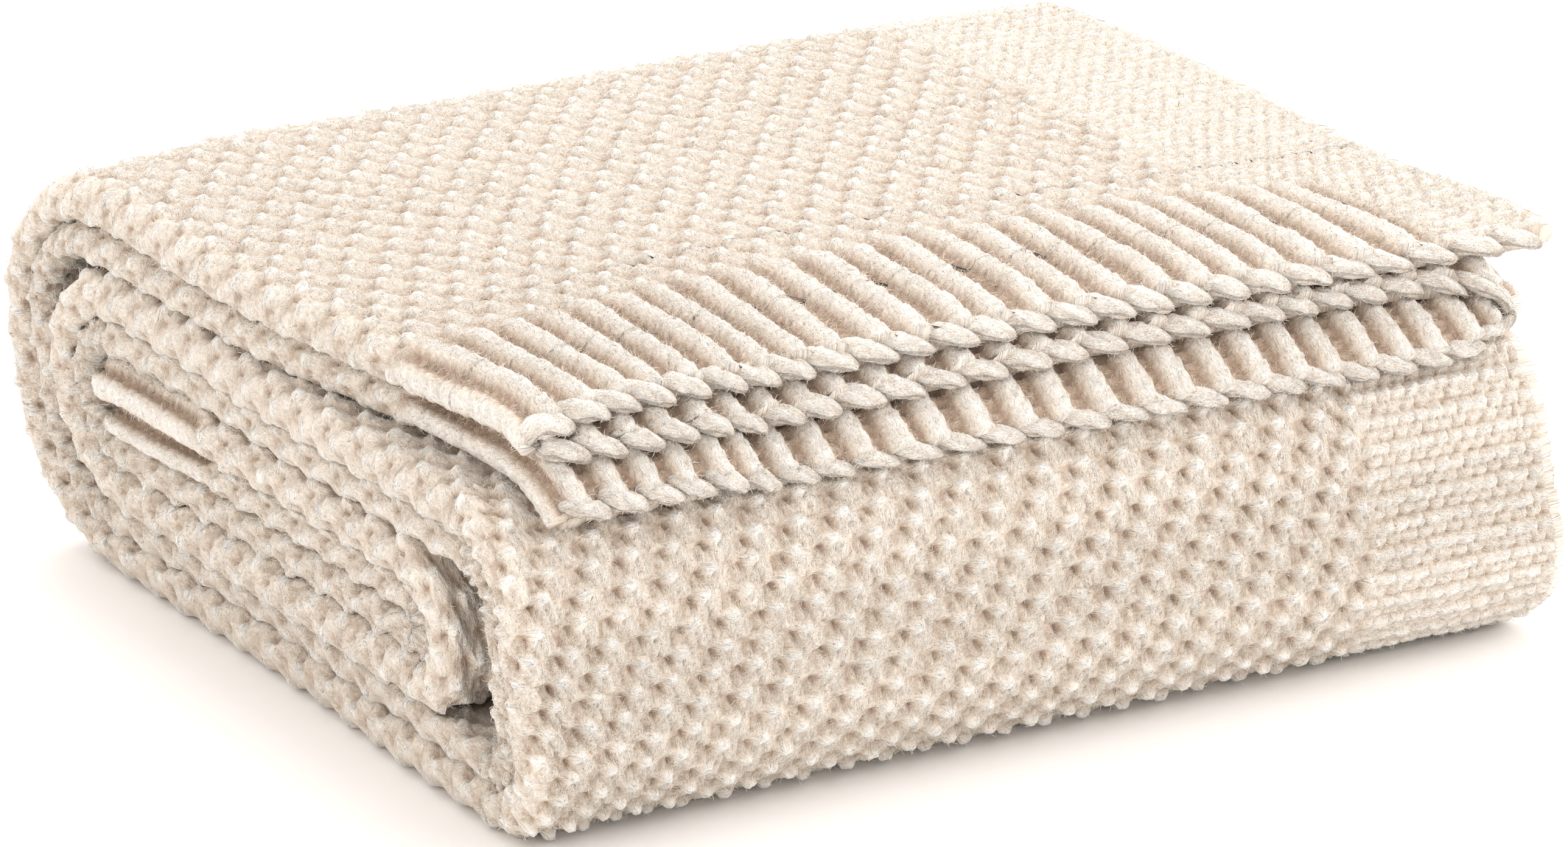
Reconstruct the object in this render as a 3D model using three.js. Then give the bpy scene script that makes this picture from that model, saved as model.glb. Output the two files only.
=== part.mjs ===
// A knitted throw blanket, folded for storage.
//
// The cloth is one piece of chunky knit: a moss-stitch field with a ribbed cuff at each end and a
// garter-stitch border down each side. It is folded twice over. First its width is folded into a
// strip of three full plies, with the second border tucked under as a short fourth ply. The strip
// is then folded up on itself in five turns, from a core in the middle to a flap on top.
//
// The model follows the strip from the core end to the flap end. Each node is one ply of one panel
// of the strip, cut at a fold line or where the stitch changes, and it is swept along the strip's
// middle line. The flap turns about the crease at the upper back.
//
// Millimetres. X runs along the folded edge, left to right, Y from front to back, Z up.

import * as THREE from "three";

// Overall sizes
const WIDTH = 410; // folded width, from the left folds to the right edge
const DEPTH = 372; // front face to back fold
const TURN = 30.2; // height of one turn of the strip
const GAP = 0.4; // clearance between neighbouring plies, turns and panels

// Sizes that can be set by themselves
const BACK_RADIUS = 56; // outside radius of the back fold's two corners
const FRONT_RADIUS = 42; // outside radius of the front fold's two corners
const CUFF = 68; // length of a ribbed cuff
const TUCK = 72; // width of the border tucked under as the fourth ply
const TUCK_CLEAR = 3; // from the tucked border's edge to where the third ply drops
const RAMP = 26; // width over which three plies spread to the room of four
const FOLD_ROUND = 0.8; // rounding on the outside of a side fold, as a share of the ply's thickness
const EDGE_ROUND = 0.13; // rounding of every other edge, as a share of the ply's thickness
const NEST_CLEAR = 3; // between the back fold and the fold inside it
const FRONT_HOLLOW = 24; // room left between the front face and the fold inside it
const CORE_CLEAR = 1; // from the core's end to where the fold round it begins
const EDGE_ANGLES = [14, 24, 40, 40]; // how far each ply's cuff wraps the front shoulder, degrees
const CREASE_ANGLE = 45; // where the flap's crease lies on the upper back corner, degrees
const CORNER_STEPS = 4; // facets in a quarter turn of a fold
const EDGE_STEPS = 2; // facets in the rounded edge of a ply

// Worked out from those
const HALF_STRIP = (TURN - GAP) / 2;
const LEFT = -WIDTH / 2;
const RIGHT = WIDTH / 2;
const FLOOR = -GAP / 2; // puts the underside of the lowest ply at height zero
const FRONT = -DEPTH / 2 + FRONT_RADIUS; // middle of the front fold's corners
const BACK = DEPTH / 2 - BACK_RADIUS; // middle of the back fold's corners
const INNER_BACK = DEPTH / 2 - TURN - NEST_CLEAR - 1.5 * TURN;
const INNER_FRONT = -DEPTH / 2 + TURN + FRONT_HOLLOW + TURN;
const CORE_END = INNER_BACK - CORE_CLEAR;
const CUFF_START = FRONT + CUFF - THREE.MathUtils.degToRad(EDGE_ANGLES[0]) * (FRONT_RADIUS + TURN);

// Middle height of the strip in each turn, counted up from the floor
const turnHeight = (turn) => FLOOR + (turn - 0.5) * TURN;

// ---------- the strip's middle line ----------

// A straight stretch along Y at one height, or along Z at one depth
function straight(from, to) {
  const direction = new THREE.Vector2().subVectors(to, from).normalize();
  return [from, to].map((point) => ({ point, direction }));
}

// A bend about a centre, turning from one angle to another; 0 is the back, 90 the top. Its facets
// start at the same angles in every ply, so the plies stay parallel.
function bend(centre, radius, fromAngle, toAngle) {
  const facet = 90 / CORNER_STEPS;
  const whole = Math.ceil((toAngle - fromAngle) / facet - 1e-6);
  return Array.from({ length: whole + 1 }, (_, i) => {
    const a = THREE.MathUtils.degToRad(Math.min(fromAngle + i * facet, toAngle));
    return {
      point: new THREE.Vector2(Math.cos(a), Math.sin(a)).multiplyScalar(radius).add(centre),
      direction: new THREE.Vector2(-Math.sin(a), Math.cos(a)),
    };
  });
}

// The stretches of one panel joined end to end, pulled in at both ends by half the panel gap
function panel(...stretches) {
  const stations = stretches
    .flat()
    .filter((s, i, all) => i === 0 || s.point.distanceTo(all[i - 1].point) > 1e-6);
  const pull = (s, amount) => ({ ...s, point: s.point.clone().addScaledVector(s.direction, amount) });
  stations[0] = pull(stations[0], GAP / 2);
  stations[stations.length - 1] = pull(stations.at(-1), -GAP / 2);
  return stations;
}

// A path through a panel's stations that keeps X across the strip and the outside of the fold up
class StripPath extends THREE.Curve {
  constructor(stations) {
    super();
    this.stations = stations;
  }
  stationAt(t) {
    return this.stations[Math.round(t * (this.stations.length - 1))];
  }
  getPoint(t) {
    const { point } = this.stationAt(t);
    return new THREE.Vector3(0, point.x, point.y);
  }
  getSpacedPoints(steps) {
    return this.getPoints(steps);
  }
  computeFrenetFrames(steps) {
    const each = (make) => Array.from({ length: steps + 1 }, (_, i) => make(this.stationAt(i / steps).direction));
    return {
      tangents: each((d) => new THREE.Vector3(0, d.x, d.y)),
      normals: each(() => new THREE.Vector3(1, 0, 0)),
      binormals: each((d) => new THREE.Vector3(0, d.y, -d.x)),
    };
  }
}

// ---------- the section of each ply across the strip ----------

// Height of the boundary under a ply, above the strip's middle, where four plies share the strip
// and where three do; the fourth ply counts as nothing there
const boundaryOfFour = (ply) => HALF_STRIP * (1 - ply / 2);
const boundaryOfThree = (ply) => HALF_STRIP * (1 - Math.min(ply, 3) / 1.5);
const RAMP_LEFT = LEFT + TUCK + TUCK_CLEAR;
const RAMP_RIGHT = RAMP_LEFT + RAMP;

// Points round one corner of a section, anticlockwise; the quarter is 0 at the upper right
function roundedCorner(x, y, quarter, radius) {
  const start = (quarter * Math.PI) / 2;
  const middle = start + Math.PI / 4;
  const centre = new THREE.Vector2(x - Math.sign(Math.cos(middle)) * radius, y - Math.sign(Math.sin(middle)) * radius);
  return Array.from({ length: EDGE_STEPS + 1 }, (_, i) => {
    const a = start + (i / EDGE_STEPS) * (Math.PI / 2);
    return new THREE.Vector2(Math.cos(a), Math.sin(a)).multiplyScalar(radius).add(centre);
  });
}

// The plies zigzag: the first and second join at the left, the second and third at the right, the
// third and the tucked border at the left. A ply is fully rounded on the outside of its fold.
function plySection(ply) {
  const tucked = ply === 4;
  const upperGap = ply === 1 ? 0 : GAP / 2;
  const lowerGap = tucked ? 0 : GAP / 2;
  const top = boundaryOfFour(ply - 1) - upperGap;
  const bottom = boundaryOfFour(ply) + lowerGap;
  const right = tucked ? LEFT + TUCK : RIGHT;
  const topRight = tucked ? top : boundaryOfThree(ply - 1) - upperGap;
  const bottomRight = tucked ? bottom : boundaryOfThree(ply) + (ply === 3 ? 0 : lowerGap);
  const leftThickness = top - bottom;
  const rightThickness = topRight - bottomRight;
  const leftTop = leftThickness * (ply % 2 === 1 ? FOLD_ROUND : EDGE_ROUND);
  const leftBottom = leftThickness * (ply % 2 === 0 ? FOLD_ROUND : EDGE_ROUND);
  const rightTop = rightThickness * (ply === 2 ? FOLD_ROUND : EDGE_ROUND);
  const rightBottom = rightThickness * (ply === 3 ? FOLD_ROUND : EDGE_ROUND);
  const lowerRamp = [new THREE.Vector2(RAMP_LEFT, bottom), new THREE.Vector2(RAMP_RIGHT, bottomRight)];
  const upperRamp = [new THREE.Vector2(RAMP_RIGHT, topRight), new THREE.Vector2(RAMP_LEFT, top)];
  return [
    ...roundedCorner(LEFT, bottom, 2, leftBottom),
    ...(tucked ? [] : lowerRamp),
    ...roundedCorner(right, bottomRight, 3, rightBottom),
    ...roundedCorner(right, topRight, 0, rightTop),
    ...(tucked ? [] : upperRamp),
    ...roundedCorner(LEFT, top, 1, leftTop),
  ];
}

// ---------- the panels of the strip, from the core end to the flap end ----------

const at = (y, z) => new THREE.Vector2(y, z);
const backLine = BACK_RADIUS - TURN / 2; // radius of the middle line in the back fold's corners
const frontLine = FRONT_RADIUS - TURN / 2; // and in the front fold's corners
const shoulder = at(FRONT, turnHeight(4) - frontLine); // middle of the front fold's upper corner
const shin = at(FRONT, turnHeight(1) + frontLine); // middle of its lower corner
const heel = at(BACK, turnHeight(1) + backLine); // middle of the back fold's lower corner
const nape = at(BACK, turnHeight(5) - backLine); // middle of its upper corner
const midFront = at(FRONT - frontLine, (shoulder.y + shin.y) / 2);
const midBack = at(BACK + backLine, (heel.y + nape.y) / 2);
const innerFront = at(INNER_FRONT, (turnHeight(2) + turnHeight(3)) / 2);
const innerBack = at(INNER_BACK, turnHeight(3));

function corePanels() {
  const end = at(CORE_END, turnHeight(3));
  const cuffStart = at(CORE_END - CUFF, turnHeight(3));
  return {
    core_cuff: panel(straight(end, cuffStart)),
    core: panel(straight(cuffStart, at(INNER_FRONT, turnHeight(3)))),
    inner_front_fold: panel(bend(innerFront, TURN / 2, 90, 270)),
    lower_turn: panel(straight(at(INNER_FRONT, turnHeight(2)), at(INNER_BACK, turnHeight(2)))),
    inner_back_fold_low: panel(bend(innerBack, TURN, -90, 0)),
    inner_back_fold_high: panel(bend(innerBack, TURN, 0, 90)),
    upper_turn: panel(straight(at(INNER_BACK, turnHeight(4)), at(FRONT, turnHeight(4)))),
  };
}

function wrapPanels() {
  const frontTop = at(midFront.x, shoulder.y);
  const frontFoot = at(midFront.x, shin.y);
  const backFoot = at(midBack.x, heel.y);
  const backTop = at(midBack.x, nape.y);
  return {
    front_fold_high: panel(bend(shoulder, frontLine, 90, 180), straight(frontTop, midFront)),
    front_fold_low: panel(straight(midFront, frontFoot), bend(shin, frontLine, 180, 270)),
    bottom_turn: panel(straight(at(FRONT, turnHeight(1)), at(BACK, turnHeight(1)))),
    back_fold_low: panel(bend(heel, backLine, -90, 0), straight(backFoot, midBack)),
    back_fold_high: panel(straight(midBack, backTop), bend(nape, backLine, 0, CREASE_ANGLE)),
  };
}

// The flap's plies share two panels and end one by one, further and further round the shoulder
function flapPanels(ply) {
  const cuffStart = at(CUFF_START, turnHeight(5));
  const brink = at(FRONT, turnHeight(5));
  const wrap = bend(shoulder, frontLine + TURN, 90, 90 + EDGE_ANGLES[ply - 1]);
  return {
    flap_crease: panel(bend(nape, backLine, CREASE_ANGLE, 90)),
    top_flap: panel(straight(at(BACK, turnHeight(5)), cuffStart)),
    flap_cuff: panel(straight(cuffStart, brink), wrap),
  };
}

// ---------- the object ----------

// Off-white acrylic yarn: soft, fully matt
function yarn() {
  return new THREE.MeshStandardMaterial({ color: 0xefe6da, roughness: 0.95, metalness: 0 });
}

function plyMesh(name, ply, stations) {
  const path = new StripPath(stations);
  const outline = new THREE.Shape(plySection(ply));
  const geometry = new THREE.ExtrudeGeometry(outline, { steps: stations.length - 1, extrudePath: path });
  const mesh = new THREE.Mesh(geometry, yarn());
  mesh.name = `${name}_ply_${ply}`;
  return mesh;
}

function pliesOf(panelsFor) {
  const group = new THREE.Group();
  for (const ply of [1, 2, 3, 4]) {
    for (const [name, stations] of Object.entries(panelsFor(ply))) {
      group.add(plyMesh(name, ply, stations));
    }
  }
  return group;
}

const blanket = new THREE.Group();
blanket.add(pliesOf(corePanels));
blanket.add(pliesOf(wrapPanels));
blanket.add(pliesOf(flapPanels));

export default blanket;
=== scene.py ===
import math

import bpy
import numpy as np
from mathutils import Matrix, Vector


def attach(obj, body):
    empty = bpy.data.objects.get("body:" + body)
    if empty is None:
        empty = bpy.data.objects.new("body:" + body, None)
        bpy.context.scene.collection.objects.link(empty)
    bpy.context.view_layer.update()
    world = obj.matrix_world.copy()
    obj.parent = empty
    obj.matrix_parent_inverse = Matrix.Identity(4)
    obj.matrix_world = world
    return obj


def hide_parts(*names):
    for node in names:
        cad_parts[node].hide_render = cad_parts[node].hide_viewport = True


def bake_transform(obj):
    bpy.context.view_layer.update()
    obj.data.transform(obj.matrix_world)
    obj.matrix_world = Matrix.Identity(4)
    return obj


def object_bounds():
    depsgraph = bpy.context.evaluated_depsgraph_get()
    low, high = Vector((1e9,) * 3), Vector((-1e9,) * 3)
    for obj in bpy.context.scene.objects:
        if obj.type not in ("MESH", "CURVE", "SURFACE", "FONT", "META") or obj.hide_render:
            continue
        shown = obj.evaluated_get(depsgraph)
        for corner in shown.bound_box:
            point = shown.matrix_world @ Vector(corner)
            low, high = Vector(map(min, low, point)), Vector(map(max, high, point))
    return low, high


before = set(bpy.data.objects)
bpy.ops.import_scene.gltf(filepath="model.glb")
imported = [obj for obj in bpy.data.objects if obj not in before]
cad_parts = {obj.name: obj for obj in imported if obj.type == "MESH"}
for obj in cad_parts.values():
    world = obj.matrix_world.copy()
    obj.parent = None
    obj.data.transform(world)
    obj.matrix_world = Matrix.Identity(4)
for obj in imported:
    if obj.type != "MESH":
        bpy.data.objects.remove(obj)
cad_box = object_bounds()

# ---------------------------------------------------------------------------------------------
# Studio: a pale table top under a wide soft ceiling of light, with the camera low and to the left
# of the bundle, on a long lens.
# ---------------------------------------------------------------------------------------------
bpy.ops.object.select_all(action="DESELECT")
bpy.ops.mesh.primitive_plane_add(size=1.0, location=(0, 0, 0))
table = bpy.context.object
table.name = "table_top"
table.data.transform(Matrix.Diagonal((12.0, 12.0, 1.0, 1.0)))

table_paint = bpy.data.materials.new("table_paint")
table_paint.use_nodes = True
paint = table_paint.node_tree.nodes["Principled BSDF"]
paint.inputs["Base Color"].default_value = (0.97, 0.965, 0.96, 1.0)
paint.inputs["Roughness"].default_value = 0.8
table.data.materials.append(table_paint)

room = bpy.data.worlds.new("soft_room")
bpy.context.scene.world = room
room.use_nodes = True
room.node_tree.nodes["Background"].inputs["Color"].default_value = (1.0, 0.97, 0.94, 1.0)
room.node_tree.nodes["Background"].inputs["Strength"].default_value = 1.30


def soft_light(name, place, aim, size, watts, colour):
    bpy.ops.object.select_all(action="DESELECT")
    bpy.ops.object.light_add(type="AREA", location=place)
    lamp = bpy.context.object
    lamp.name = name
    lamp.data.size = size
    lamp.data.energy = watts
    lamp.data.color = colour
    lamp.rotation_euler = (Vector(aim) - Vector(place)).to_track_quat("-Z", "Y").to_euler()


soft_light("ceiling_panel", (0.5, 0.9, 2.2), (0.0, 0.0, 0.1), 1.8, 33, (0.985, 0.99, 1.0))
soft_light("side_panel", (1.8, -1.2, 1.2), (0.0, 0.0, 0.08), 1.2, 18, (1.0, 0.99, 0.97))

AZIMUTH, ELEVATION, DISTANCE = math.radians(-30.67), math.radians(19.13), 2.3515
level = math.cos(ELEVATION)
back = Vector((math.sin(AZIMUTH) * level, -math.cos(AZIMUTH) * level, math.sin(ELEVATION)))
bpy.ops.object.select_all(action="DESELECT")
bpy.ops.object.camera_add(location=Vector((-0.0651, -0.1208, 0.1109)) + back * DISTANCE)
camera = bpy.context.object
camera.rotation_euler = (-back).to_track_quat("-Z", "Y").to_euler()
camera.data.lens = 163.7
camera.data.sensor_width = 36.0
camera.data.clip_end = 50.0
bpy.context.scene.camera = camera
bpy.context.scene.view_settings.view_transform = "Standard"

# ---------------------------------------------------------------------------------------------
# The throw: one cloth, knitted from a thick acrylic yarn. Its width is folded into three full plies
# and a tucked border, and the strip that makes is folded up in five turns. In millimetres of cloth,
# v runs along the strip from the core's end, and u across it from the free selvedge at the right.
# ---------------------------------------------------------------------------------------------
low, high = (np.array(c) * 1000 for c in cad_box)
room_between = 0.4  # between one turn and the next
turns = 5
width, depth = high[0] - low[0], 2 * high[1] + room_between
turn = (high[2] - low[2] + room_between) / turns
half_strip = turn / 2 - room_between / 2
left, right = -width / 2, width / 2
back_radius, front_radius = 56.0, 42.0
cuff, tuck = 68.0, 72.0
tuck_clear, ramp_run = 3.0, 26.0  # past the tucked border, the plies above it settle down
nest_clear, front_hollow, core_clear = 3.0, 24.0, 1.0
edge_angles = (14.0, 24.0, 40.0, 40.0)  # how far round the front each ply of the cuff ends
front, rear = -depth / 2 + front_radius, depth / 2 - back_radius
inner_back = depth / 2 - turn - nest_clear - 1.5 * turn
inner_front = -depth / 2 + turn + front_hollow + turn
core_end = inner_back - core_clear
cuff_start = front + cuff - math.radians(edge_angles[0]) * (front_radius + turn)
back_line, front_line = back_radius - turn / 2, front_radius - turn / 2


def turn_height(n):
    """Middle of a turn, counted from the table."""
    return (n - 0.5) * turn - room_between / 2


shoulder = (front, turn_height(4) - front_line)
shin = (front, turn_height(1) + front_line)
heel = (rear, turn_height(1) + back_line)
nape = (rear, turn_height(5) - back_line)

stretches = []  # (kind, values, start, end) along v
marks = {}


def lay(name, kind, *values):
    """Lays the next stretch of the strip: a straight run or an arc, in the plane of Y and Z."""
    start = stretches[-1][3] if stretches else 0.0
    if kind == "run":
        (y0, z0), (y1, z1) = values
        length = math.hypot(y1 - y0, z1 - z0)
    else:
        length = values[1] * math.radians(values[3] - values[2])
    stretches.append((kind, values, start, start + length))
    if name:
        marks[name] = start


lay("core_cuff", "run", (core_end, turn_height(3)), (core_end - cuff, turn_height(3)))
lay("core", "run", (core_end - cuff, turn_height(3)), (inner_front, turn_height(3)))
lay("inner_front_fold", "arc", (inner_front, (turn_height(2) + turn_height(3)) / 2), turn / 2, 90, 270)
lay("lower_turn", "run", (inner_front, turn_height(2)), (inner_back, turn_height(2)))
lay("inner_back_fold", "arc", (inner_back, turn_height(3)), turn, -90, 90)
lay("upper_turn", "run", (inner_back, turn_height(4)), (front, turn_height(4)))
lay("front_fold", "arc", shoulder, front_line, 90, 180)
lay(None, "run", (front - front_line, shoulder[1]), (front - front_line, shin[1]))
lay(None, "arc", shin, front_line, 180, 270)
lay("bottom_turn", "run", (front, turn_height(1)), (rear, turn_height(1)))
lay("back_fold", "arc", heel, back_line, -90, 0)
lay("crease", "run", (rear + back_line, heel[1]), (rear + back_line, nape[1]))
lay(None, "arc", nape, back_line, 0, 90)
lay("top_flap", "run", (rear, turn_height(5)), (cuff_start, turn_height(5)))
lay("flap_cuff", "run", (cuff_start, turn_height(5)), (front, turn_height(5)))
lay("brink", "arc", shoulder, front_line + turn, 90, 160)


def path(v):
    """Middle line of the strip at v: place and direction, each as (Y, Z)."""
    place = np.zeros(v.shape + (2,))
    way = np.zeros(v.shape + (2,))
    for number, (kind, values, start, end) in enumerate(stretches):
        first, last = number == 0, number == len(stretches) - 1
        here = (first | (v >= start)) & (last | (v < end))
        s = v[here] - start
        if kind == "run":
            p, q = np.array(values[0]), np.array(values[1])
            d = (q - p) / np.linalg.norm(q - p)
            place[here] = p + s[:, None] * d
            way[here] = d
        else:
            a = math.radians(values[2]) + s / values[1]
            place[here] = np.array(values[0]) + values[1] * np.stack([np.cos(a), np.sin(a)], -1)
            way[here] = np.stack([-np.sin(a), np.cos(a)], -1)
    return place, way


def ease(x, a, b):
    """Rises smoothly from 0 at a to 1 at b."""
    t = np.clip((x - a) / (b - a), 0, 1)
    return t * t * (3 - 2 * t)


def ripple(a, b, seed):
    """Slow smooth unevenness between -1 and 1, for hand-folded cloth."""
    rng = np.random.default_rng(seed)
    total = 0.0
    for _ in range(5):
        ka, kb = rng.uniform(-1, 1, 2)
        total = total + np.sin(ka * a + kb * b + rng.uniform(0, 6.283))
    return total / 3.2


# Across the strip, from the free selvedge at the right to the border tucked under at the left
ramp = (left + tuck + tuck_clear, left + tuck + tuck_clear + ramp_run)


def ply_middle(ply, x):
    """Height of a ply's middle: there are four plies at the left and three at the right."""
    four = half_strip * (1 - (ply - 0.5) / 2)
    three = half_strip * (1 - (ply - 0.5) / 1.5)
    return four + (three - four) * ease(x, *ramp)


def zigzag(step=0.5):
    """The middle line through plies 1 to 4 and the three folds between them."""
    thin, full = half_strip / 2, half_strip * 2 / 3  # a ply's thickness at the left and at the right
    xs, hs = [], []

    def run(start, stop, ply):
        x = np.arange(start, stop, step if stop > start else -step)
        xs.append(x)
        hs.append(ply_middle(ply, x))

    def bend(middle_x, middle_h, radius, start, stop, points):
        a = np.radians(np.linspace(start, stop, points)[1:-1])
        xs.append(middle_x + radius * np.cos(a))
        hs.append(middle_h + radius * np.sin(a))

    run(right - 0.5 * full, left + thin, 1)
    bend(left + thin, half_strip - thin, thin / 2, 90, 270, 26)
    run(left + thin, right - full, 2)
    bend(right - full, -full / 2, full / 2, 90, -90, 32)
    run(right - full, left + thin, 3)
    bend(left + thin, thin - half_strip, thin / 2, 90, 270, 26)
    run(left + thin, left + tuck - 0.5 * thin, 4)
    x, h = np.concatenate(xs), np.concatenate(hs)
    u = np.concatenate([[0], np.cumsum(np.hypot(np.diff(x), np.diff(h)))])
    dx, dh = np.gradient(x, u), np.gradient(h, u)
    size = np.hypot(dx, dh)
    room_between_plies = 0.5
    thick = thin + (full - thin) * ease(x, *ramp) - room_between_plies
    return u, x, h, dx / size, dh / size, thick


line_u, line_x, line_h, line_dx, line_dh, line_thick = zigzag()


def face_length(side):
    """Length along one face of the cloth, which is stretched round the outside of each fold."""
    x, h = line_x + side * line_dh * line_thick / 2, line_h - side * line_dx * line_thick / 2
    return np.concatenate([[0], np.cumsum(np.hypot(np.diff(x), np.diff(h)))])


outer_length, inner_length = face_length(1), face_length(-1)
cloth_width = line_u[-1]
fold_left_1 = line_u[np.argmin(np.where(line_u < 600, line_x, 1e9))]
fold_right = line_u[np.argmax(np.where((line_u > 600) & (line_u < 1000), line_x, -1e9))]
fold_left_2 = line_u[np.argmin(np.where(line_u > 1000, line_x, 1e9))]
folds = (fold_left_1, fold_right, fold_left_2)
fold_reach = 16.0  # how far from a fold the cloth bends


def ring(knitted, step):
    """One turn round the folded cloth's outline: u, side, whether it is knitted, whether it lies open.
    knitted maps a side (+1 outside, -1 inside) to the u ranges whose knit is modelled. A third number
    says how much coarser a range is that lies against other cloth."""
    hidden_bend, hidden_flat = 4.0, 30.0

    def side_points(side):
        edges = {0.0, cloth_width}
        for a, b, *_ in knitted.get(side, ()):
            edges |= {max(a, 0.0), min(b, cloth_width)}
        for fold in folds:
            edges |= {fold - fold_reach, fold + fold_reach}
        edges = sorted(edges)
        points = []
        for a, b in zip(edges, edges[1:]):
            m = (a + b) / 2
            scales = [(r + (1.0,))[2] for r in knitted.get(side, ()) if r[0] <= m <= r[1]]
            shows = bool(scales)
            is_open = 1.0 in scales
            near_fold = any(abs(m - fold) < fold_reach for fold in folds)
            if shows:
                pitch = step * min(scales) * (0.55 if near_fold else 1.0)
            else:
                pitch = hidden_bend if near_fold else hidden_flat
            n = max(1, round((b - a) / pitch))
            for i in range(n):
                points.append((a + (b - a) * i / n, side, float(shows), float(is_open)))
        points.append((cloth_width, side) + points[-1][2:])
        return points

    rounding = (0.75, 0.4, 0.0, -0.4, -0.75)
    tucked_edge = [(cloth_width, e, 1.0, 0.0) for e in rounding]
    free_edge = [(0.0, -e, 1.0, 1.0) for e in rounding]
    return np.array(side_points(1) + tucked_edge + side_points(-1)[::-1] + free_edge)


# ---------------------------------------------------------------------------------------------
# The knit: one thick brushed acrylic yarn, worked in moss stitch, with 1x1 ribbed cuffs at both
# ends and a garter-stitch band along each side. The loops stand out of the cloth as rounded
# strands, so each stitch is laid down as the strands that show.
# ---------------------------------------------------------------------------------------------
stitch, row = 7.8, 5.1
moss_repeat = 10.2
band, cuff_band, far_band_less = 72.0, 40.0, 26.0  # the garter bands, narrower beside the cuffs
total_length = marks["flap_cuff"] + cuff


def chance(i, j, k):
    """A fixed number from 0 to 1 for each stitch."""
    x = np.sin(i * 127.1 + j * 311.7 + k * 74.7) * 43758.5453
    return x - np.floor(x)


def fluff(x, y, size, seed):
    """Smooth bumps of about that size, between -1 and 1: tufts of brushed fibre."""
    i, j = np.floor(x / size), np.floor(y / size)
    a, b = ease(x / size - i, 0, 1), ease(y / size - j, 0, 1)
    near = chance(i, j, seed) * (1 - a) + chance(i + 1, j, seed) * a
    far = chance(i, j + 1, seed) * (1 - a) + chance(i + 1, j + 1, seed) * a
    return 2 * (near * (1 - b) + far * b) - 1


def strand(x, y, start, end, radius, h0, h1):
    """Height of a round strand between two points, falling away beside it."""
    dx, dy = end[0] - start[0], end[1] - start[1]
    t = np.clip(((x - start[0]) * dx + (y - start[1]) * dy) / (dx * dx + dy * dy), 0, 1)
    d = np.hypot(x - start[0] - t * dx, y - start[1] - t * dy) / radius
    top = h0 + (h1 - h0) * t
    on_strand = top - 0.9 * radius * (1 - np.sqrt(np.maximum(0, 1 - d * d)))
    beside = top - radius * (0.9 + 1.6 * (d - 1))
    return np.where(d < 1, on_strand, beside)


def pile(layers, floor):
    """The highest of several strands at each place, and the way its fibres run."""
    height = np.full(layers[0][0].shape, floor)
    grain = np.full(layers[0][0].shape, 0.5)
    for h, g in layers:
        over = h > height
        soft = np.exp(-np.abs(h - height) * 2.6) * 0.2
        height = np.where(over, h, height) + soft
        grain = np.where(over, g, grain)
    return height, grain


# The front face hangs a little on the bias, so its rows sit closer and lean to one side. Rows are
# counted along the strip's outer side.
face_start, face_end = marks["front_fold"] + 10, marks["bottom_turn"] - 25
face_blend, past_ends = 30.0, 200.0
row_v = np.arange(-past_ends, total_length + past_ends, 1.0)
on_face = ease(row_v, face_start - face_blend, face_start)
on_face = on_face * (1 - ease(row_v, face_end, face_end + face_blend))
row_pitch = moss_repeat - 1.25 * on_face
row_place, row_way = path(row_v)
row_outside = row_place + half_strip * np.stack([row_way[:, 1], -row_way[:, 0]], -1)
row_step = np.hypot(*np.diff(row_outside, axis=0, prepend=row_outside[:1]).T)
row_run = np.cumsum(row_step)
row_count = np.cumsum(row_step / row_pitch)
row_shift = np.cumsum((0.5 - 0.242 * on_face) * row_step / row_pitch)


def moss(x, y):
    """Moss stitch: rows of bright purl knots, each with two legs running down beside the next."""
    pair = 2 * stitch
    b = np.interp(y, row_run, row_count)
    layers = []
    gap = 0.0
    for shift in (-1, 0, 1):
        j = np.floor(b) + shift
        along = x / pair - np.interp(j, row_count, row_shift)
        i = np.round(along)
        j1, j2, j3 = chance(i, j, 1) - 0.5, chance(i, j, 2) - 0.5, chance(i, j, 3)
        px = -(along - i) * pair - 1.6 * j1
        py = (b - j) * moss_repeat - 1.5 * j2
        lift = 0.8 * j3 - 0.3
        layers.append((strand(px, py, (-0.6, 0.2 + j1), (0.6, -0.2), 2.0, 2.5 + lift, 2.5 + lift), 0.0))
        layers.append((strand(px, py, (-0.8, 1.8), (1.2 + j2, 9.0), 1.6, 1.2 + 0.5 * lift, 0.5), 1.0))
        layers.append((strand(px, py, (1.7, 1.2), (4.4 + j1, 8.6), 1.55, 1.4 + 0.5 * lift, 0.6), 1.0))
        layers.append((strand(px, py, (4.4, 2.4 + j2), (6.6, 7.2), 1.4, 0.5, 0.2), 1.0))
        layers.append((strand(px, py, (2.0, 0.3), (6.6, 1.4 + j1), 1.8, 0.5, -0.2), 0.0))
        layers.append((strand(px, py, (-6.4, -1.4 - j2), (-1.9, -0.5), 1.8, -0.1, 0.6), 0.0))
        layers.append((strand(px, py, (-5.6, 3.6), (-4.6 + j2, 8.0), 1.6, -0.1, 0.1), 1.0))
        layers.append((strand(px, py, (-2.9 + 1.2 * j2, 3.8), (-2.0, 8.2), 1.5, -0.2, 0.2), 1.0))
        # one hollow at the knot's lower left, and a small one between its legs
        gap_x = (px + 4.0 - 0.25 * (py - 2.9)) / 1.3
        gap_y = (py - 2.9 - j2) / (2.1 + 0.8 * j1)
        gap = gap + (1.1 + 1.5 * j3) * np.exp(-(gap_x ** 2 + gap_y ** 2))
        gap = gap + 0.9 * np.exp(-(((px - 0.7) / 0.8) ** 2 + ((py - 3.5) / 1.1) ** 2))
    height, grain = pile(layers, -1.1)
    return height - gap, grain


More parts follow.
